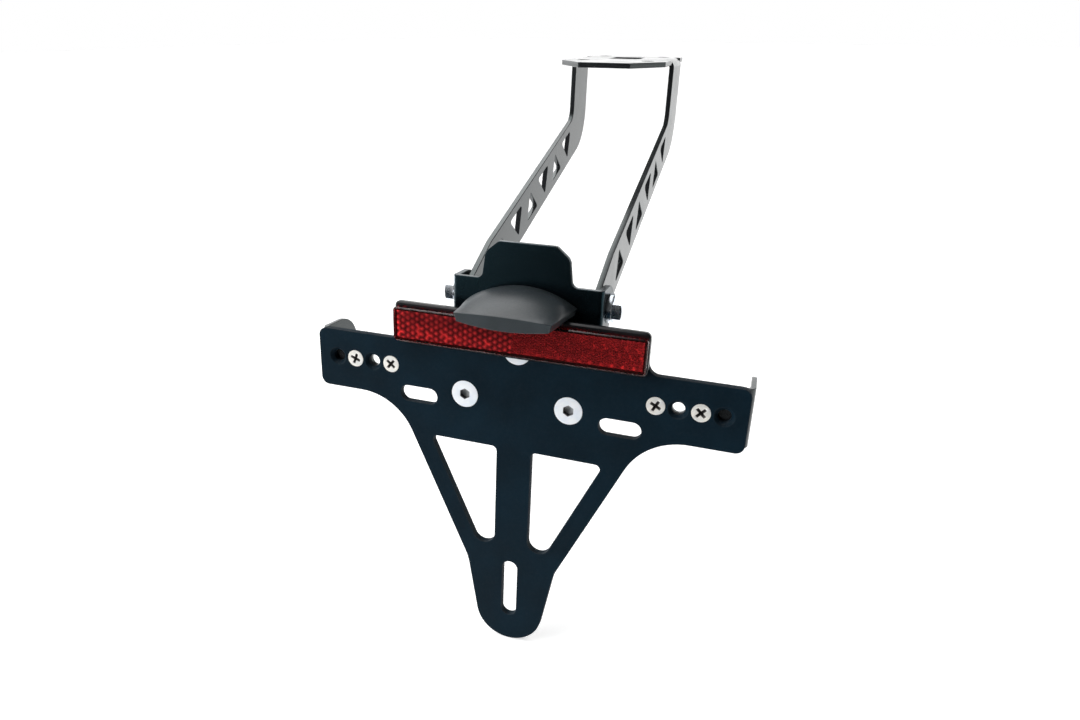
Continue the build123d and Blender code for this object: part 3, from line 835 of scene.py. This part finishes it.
class TIDY_OT_carrier(Operator):
    """Coat the folded tail carrier"""

    bl_idname = "tidy.carrier"
    bl_label = "Tail carrier"

    def execute(self, context):
        rounded_piece("tail_carrier", carrier_coat(), CARRIER, sizes().sheet_edge)
        return {"FINISHED"}


class TIDY_OT_bracket(Operator):
    """Coat the tilt bracket"""

    bl_idname = "tidy.bracket"
    bl_label = "Tilt bracket"

    def execute(self, context):
        # Painted reflection colour: the blue-green specular tint stands in for bluish room light
        coat = coat_material(
            "bracket_coat", finish().bracket,
            roughness=0.26, gloss=0.4, grain=0.9 * MM, tint=(0.35, 0.8, 1.0))
        rounded_piece("tilt_bracket", coat, UNIT, sizes().sheet_edge)
        return {"FINISHED"}


class TIDY_OT_plate(Operator):
    """Coat the plate carrier"""

    bl_idname = "tidy.plate"
    bl_label = "Plate carrier"

    def execute(self, context):
        # Painted light colour: the plate coat's blue-green cast stands in for bluish light in the shade
        coat = coat_material("plate_coat", finish().plate, roughness=0.55, gloss=0.05, grain=0.5 * MM)
        rounded_piece("plate_carrier", coat, UNIT, sizes().plate_edge)
        return {"FINISHED"}


class TIDY_OT_indicator_brackets(Operator):
    """Coat both indicator brackets"""

    bl_idname = "tidy.indicator_brackets"
    bl_label = "Indicator brackets"

    def execute(self, context):
        for node in ("indicator_bracket_left", "indicator_bracket_right"):
            rounded_piece(node, carrier_coat(), UNIT, sizes().sheet_edge)
        return {"FINISHED"}


class TIDY_OT_plate_fasteners(Operator):
    """Build the socket bolts of the plate with their spacers, washers and nuts"""

    bl_idname = "tidy.plate_fasteners"
    bl_label = "Plate fasteners"

    def execute(self, context):
        bm = bmesh.new()
        for place, length, head in bolts_of("plate_bolts"):
            countersunk_head(bm, head, M6_RADIUS, socket_recess(), place)
            thread(bm, M6_RADIUS, head - M6_RADIUS, length, sizes().m6_pitch, place)
        plating = plated_material("satin_zinc", finish().zinc, roughness=0.45, metallic=0.2)
        shown_piece("plate_bolts", bm, plating)
        for node in ("plate_spacers", "plate_washers", "plate_nuts"):
            rounded_piece(node, bright_zinc(), UNIT, sizes().small_edge)
        return {"FINISHED"}


class TIDY_OT_indicator_fasteners(Operator):
    """Build the cross-head screws of the indicator brackets and their nuts"""

    bl_idname = "tidy.indicator_fasteners"
    bl_label = "Indicator fasteners"

    def execute(self, context):
        bm = bmesh.new()
        for (place, length, head), turn in zip(bolts_of("indicator_screws"), CROSS_TURNS):
            place = place @ Matrix.Rotation(turn, 4, "Z")
            countersunk_head(bm, head, M4_RADIUS, cross_recess(), place)
            thread(bm, M4_RADIUS, head - M4_RADIUS, length, sizes().m4_pitch, place)
        plating = plated_material("warm_zinc", finish().cream_zinc, roughness=0.4, metallic=0.35)
        shown_piece("indicator_screws", bm, plating)
        rounded_piece("indicator_nuts", bright_zinc(), UNIT, sizes().small_edge)
        return {"FINISHED"}


class TIDY_OT_pivot_fasteners(Operator):
    """Build the hexagon bolts of the pivot with their washers and lock nuts"""

    bl_idname = "tidy.pivot_fasteners"
    bl_label = "Pivot fasteners"

    def execute(self, context):
        thread_start = PIVOT_HEAD - 0.2 * MM
        bm = bmesh.new()
        for low, high in solids_of("pivot_bolts"):
            side = 1 if low[0] + high[0] > 0 else -1
            inner, outer = sorted((abs(low[0]), abs(high[0])))
            place = unit_place() @ Matrix.Translation((side * outer, 0, 0))
            place = place @ Matrix.Rotation(-side * pi / 2, 4, "Y")
            seat = place @ Matrix.Translation((0, 0, PIVOT_HEAD)) @ Matrix.Rotation(pi, 4, "X")
            hex_head(bm, PIVOT_FLATS, PIVOT_HEAD, seat @ Matrix.Rotation(pi / 6, 4, "Z"))
            thread(bm, M6_RADIUS, thread_start, outer - inner, sizes().m6_pitch, place)
        shown_piece("pivot_bolts", bm, bright_zinc())
        for node in ("pivot_washers", "pivot_nuts"):
            rounded_piece(node, bright_zinc(), UNIT, sizes().small_edge)
        return {"FINISHED"}


class TIDY_OT_reflector(Operator):
    """Build the reflector: tray, prisms, clear red lens, studs and nuts"""

    bl_idname = "tidy.reflector"
    bl_label = "Reflector"

    def execute(self, context):
        tray = moulded_material(
            "tray_plastic", finish().tray,
            roughness=0.15, gloss=0.32, grain=1.2 * MM, depth=0.02 * MM, wear_tint=1.3)
        rounded_piece("reflector_base", tray, UNIT, sizes().small_edge)
        rounded_piece("reflector_lens", red_lens(), UNIT, sizes().small_edge)
        self.prisms()
        self.studs()
        rounded_piece("reflector_nuts", bright_zinc(), UNIT, sizes().small_edge)
        return {"FINISHED"}

    def prisms(self):
        """Two fields of cube-corner prisms inside the lens, coarse on the left and fine on the right."""
        (low, high), = solids_of("reflector_lens")
        back = high[1] - 0.3 * MM
        rim = sizes().prism_rim
        left, right = low[0] + rim, high[0] - rim
        bottom, top = low[2] + rim, high[2] - rim
        split = sizes().prism_split
        row = sizes().prism_row
        rng = random.Random(PRISM_SEED)

        def coarse(kind, x, z):
            """Painted light of a corner: painted highlights on the peaks, softer near the top, some linked
            to a slope beside them, and painted shade elsewhere.
            """
            bright, soft, link, dark = (0.95, 1.0), (0.6, 0.88), (0.8, 1.0), (0.0, 0.25)
            share = (z - bottom) / (top - bottom)
            along = (x - left) / (split - left)
            if kind == PEAK:
                return rng.uniform(*bright) if share < 0.6 else rng.uniform(*soft)
            linked = kind == SLOPE and 0.15 < share < 0.55 - 0.35 * along and rng.random() < 0.4
            return rng.uniform(*link) if linked else rng.uniform(*dark)

        def fine(kind, x, z):
            """Painted light of a corner: painted glints in a row of stars along the bottom and in broken
            slanted streaks, on a mid ground of painted shading.
            """
            star_height, star_reach, streak_half = 0.5 * MM, 0.9 * MM, 0.3 * MM
            # Painted shading of valleys, slopes and peaks
            ground = (0.61, 0.47, 0.33)
            share = (z - bottom) / (top - bottom)
            along = (x - split) / (right - split)
            off = (x - split) % row - row / 2
            if abs(off) + abs(z - bottom - star_height) < star_reach:
                return 0.6 + 0.4 * along
            slant = (x + 0.5 * (z - bottom)) % row - row / 2
            if abs(slant) < streak_half and share > 1.25 - along and (share - 0.1) % 0.4 > 0.12:
                return rng.uniform(0.7, 0.95)
            return ground[kind] * rng.uniform(0.8, 1.25)

        bm = bmesh.new()
        prism_sheet(bm, left, split, bottom, top, sizes().coarse_prism, coarse)
        prism_sheet(bm, split, right, bottom, top, sizes().fine_prism, fine)
        place = unit_place() @ Matrix.Translation((0, back, 0))
        bmesh.ops.transform(bm, matrix=place, verts=bm.verts)
        make_piece("reflector_prisms", bm, prism_red(), UNIT, smooth=PRISM_ANGLE)

    def studs(self):
        """Studs with flat round heads in the tray."""
        edge_height = STUD_HEAD - STUD_EDGE
        edge_radius = STUD_RADIUS - STUD_EDGE
        rings = [(edge_radius, 0.0), (STUD_RADIUS, STUD_EDGE)]
        rings += [(STUD_RADIUS, edge_height), (edge_radius, STUD_HEAD)]
        bm = bmesh.new()
        for place, length, _ in bolts_of("reflector_studs"):
            ring_stack(bm, rings, place)
            thread(bm, M5_RADIUS, edge_height, length, sizes().m5_pitch, place)
        shown_piece("reflector_studs", bm, bright_zinc())


class TIDY_OT_light(Operator):
    """Dress the number plate light: hood, window, board, chips and screws"""

    bl_idname = "tidy.light"
    bl_label = "Number plate light"

    def execute(self, context):
        hood = moulded_material(
            "hood_plastic", finish().hood,
            roughness=0.37, gloss=0.62, grain=0.6 * MM, depth=0.06 * MM, wear_tint=0.6)
        rounded_piece("light_housing", hood, UNIT, sizes().hood_edge, self.outer_edges())
        rounded_piece("light_window", clear_window(), UNIT, sizes().chip_edge)
        rounded_piece("light_board", board_green(), UNIT, sizes().board_edge)
        rounded_piece("light_leds", chip_yellow(), UNIT, sizes().chip_edge)
        self.screws()
        return {"FINISHED"}

    def outer_edges(self):
        """Test for the hood's edges that are rounded: those of its nose, and its rim short of the tips."""
        (low, high), = solids_of("light_housing")
        to_unit = unit_place().inverted()
        near = 0.05 * MM
        nose = low[1] + near
        rim = high[1] - 0.8 * MM
        tips = high[0] - 2 * MM
        foot = 1.5 * MM

        def chosen(first, second):
            a, b = to_unit @ first, to_unit @ second
            at_nose = max(a.y, b.y) < nose
            at_rim = max(abs(a.y - rim), abs(b.y - rim)) < near
            return at_nose or at_rim and max(abs(a.x), abs(b.x)) < tips and min(a.z, b.z) > foot
        return chosen

    def screws(self):
        """Pan-head screws that point to the rear."""
        outline = [(radius * MM, height * MM) for radius, height in PAN_OUTLINE]
        bm = bmesh.new()
        for place, length, _ in bolts_of("light_screws", rearward=True):
            ring_stack(bm, cross_recess() + outline, place)
            thread(bm, M4_RADIUS, PAN_HEAD, length, sizes().m4_pitch, place)
        shown_piece("light_screws", bm, bright_zinc())


class TIDY_OT_stage(Operator):
    """Set the floor, the even light, the soft lamp and the camera"""

    bl_idname = "tidy.stage"
    bl_label = "Stage"

    def execute(self, context):
        scene = context.scene
        settings = scene.tidy_stage
        scene.view_settings.view_transform = "Standard"
        self.floor(scene, CAD_BOX[0][2])
        self.world(scene, settings)
        self.lamp(scene, settings.key_power)
        self.camera(scene, settings)
        return {"FINISHED"}

    def floor(self, scene, level):
        """Plain pale floor under the tip of the tongue, from just behind the camera forward."""
        side, near, far = 6.0, -0.48, 12.0
        corners = [(-side, near, 0), (side, near, 0), (side, far, 0), (-side, far, 0)]
        mesh = bpy.data.meshes.new("floor")
        mesh.from_pydata(corners, [], [(0, 1, 2, 3)])
        material, tree, shader = new_material(
            "floor_white", Base_Color=FLOOR_COLOUR, Roughness=0.9, Specular_IOR_Level=0.0)
        glow = add_node(tree, "ShaderNodeEmission")
        total = add_node(tree, "ShaderNodeAddShader")
        seen = self.ray_mask(tree, "Is Camera Ray", "Is Glossy Ray", "Is Transmission Ray")
        tree.links.new(math_node(tree, "MULTIPLY", seen, FLOOR_GLOW), glow.inputs["Strength"])
        tree.links.new(glow.outputs[0], total.inputs[0])
        tree.links.new(shader.outputs[0], total.inputs[1])
        tree.links.new(total.outputs[0], tree.nodes["Material Output"].inputs["Surface"])
        mesh.materials.append(material)
        floor = bpy.data.objects.new("floor", mesh)
        floor.location.z = level
        scene.collection.objects.link(floor)

    def ray_mask(self, tree, first, *others):
        """Mask of the rays of one kind or of several."""
        path = add_node(tree, "ShaderNodeLightPath")
        mask = path.outputs[first]
        for kind in others:
            mask = math_node(tree, "MAXIMUM", mask, path.outputs[kind])
        return mask

    def world(self, scene, settings):
        """White to the camera and through glass; to all else a backdrop ahead and soft light on the left."""
        world = bpy.data.worlds.new("surroundings")
        world.use_nodes = True
        tree = world.node_tree
        shown = tree.nodes["Background"]
        shown.inputs["Color"].default_value = (1, 1, 1, 1)
        direction = add_node(tree, "ShaderNodeTexCoord").outputs["Generated"]
        split = add_node(tree, "ShaderNodeSeparateXYZ")
        tree.links.new(direction, split.inputs[0])
        x, y, z = split.outputs
        # Each patch: axes of the direction, with where it starts to show and where it is full
        patches = (
            (settings.backdrop, ((y, -0.1, 0.3), (z, 0.45, 0.28))),
            (settings.overhead, ((x, -0.1, -0.26), (z, 0.48, 0.68), (y, -0.7, -0.1))),
            (settings.side, ((x, -0.33, -0.38), (z, -0.17, -0.09), (z, 0.3, 0.1))),
        )
        room = settings.shade
        for strength, ramps in patches:
            room = math_node(tree, "MAXIMUM", self.patch(tree, ramps, strength), room)
        white = self.ray_mask(tree, "Is Camera Ray", "Is Transmission Ray")
        far = math_node(tree, "SUBTRACT", 1.0, white)
        room = math_node(tree, "MULTIPLY", room, far)
        tree.links.new(math_node(tree, "ADD", room, white), shown.inputs["Strength"])
        scene.world = world

    def patch(self, tree, ramps, strength):
        """Soft-edged patch of the surroundings: the product of soft steps along its axes, at a strength."""
        total = strength
        for value, start, end in ramps:
            step = map_range(tree, value, start, end, interpolation_type="SMOOTHSTEP")
            total = math_node(tree, "MULTIPLY", step, total)
        return total

    def lamp(self, scene, power):
        """Soft lamp on the left, further back than the camera, that shows in no reflection."""
        place = Vector((-0.9, -0.65, 0.15))
        aim = Vector((0.0, -0.15, -0.1))
        data = bpy.data.lights.new("soft_lamp", "AREA")
        data.shape = "DISK"
        data.size = 1.2
        data.energy = power
        lamp = bpy.data.objects.new("soft_lamp", data)
        lamp.location = place
        lamp.rotation_euler = (aim - place).to_track_quat("-Z", "Y").to_euler()
        lamp.visible_glossy = False
        scene.collection.objects.link(lamp)

    def camera(self, scene, settings):
        """Camera at the photograph's viewing angle."""
        camera = bpy.data.objects.new("camera", bpy.data.cameras.new("camera"))
        camera.location = settings.eye
        camera.rotation_euler = Euler(settings.turn)
        camera.data.sensor_width = 36.0
        camera.data.lens = settings.lens
        camera.data.clip_start = 0.01
        scene.collection.objects.link(camera)
        scene.camera = camera


OPERATORS = (
    TIDY_OT_carrier,
    TIDY_OT_bracket,
    TIDY_OT_plate,
    TIDY_OT_indicator_brackets,
    TIDY_OT_plate_fasteners,
    TIDY_OT_indicator_fasteners,
    TIDY_OT_pivot_fasteners,
    TIDY_OT_reflector,
    TIDY_OT_light,
    TIDY_OT_stage,
)


class TIDY_PT_panel(Panel):
    """Sidebar panel that lists the pieces"""

    bl_idname = "TIDY_PT_panel"
    bl_label = "Tail tidy"
    bl_space_type = "VIEW_3D"
    bl_region_type = "UI"
    bl_category = "Tail tidy"

    def draw(self, context):
        layout = self.layout
        for operator in OPERATORS:
            layout.operator(operator.bl_idname)
        for settings in (context.scene.tidy_finish, context.scene.tidy_sizes, context.scene.tidy_stage):
            for name in settings.__annotations__:
                layout.prop(settings, name)


CLASSES = (TidyFinish, TidySizes, TidyStage, *OPERATORS, TIDY_PT_panel)


def register():
    """Register the classes and the scene's settings."""
    for cls in CLASSES:
        bpy.utils.register_class(cls)
    bpy.types.Scene.tidy_finish = PointerProperty(type=TidyFinish)
    bpy.types.Scene.tidy_sizes = PointerProperty(type=TidySizes)
    bpy.types.Scene.tidy_stage = PointerProperty(type=TidyStage)


def unregister():
    """Remove the settings and the classes."""
    del bpy.types.Scene.tidy_stage
    del bpy.types.Scene.tidy_sizes
    del bpy.types.Scene.tidy_finish
    for cls in reversed(CLASSES):
        bpy.utils.unregister_class(cls)


def main():
    """Build every piece and the stage."""
    register()
    bpy.ops.tidy.carrier()
    bpy.ops.tidy.bracket()
    bpy.ops.tidy.plate()
    bpy.ops.tidy.indicator_brackets()
    bpy.ops.tidy.plate_fasteners()
    bpy.ops.tidy.indicator_fasteners()
    bpy.ops.tidy.pivot_fasteners()
    bpy.ops.tidy.reflector()
    bpy.ops.tidy.light()
    bpy.ops.tidy.stage()


if __name__ == "__main__":
    main()
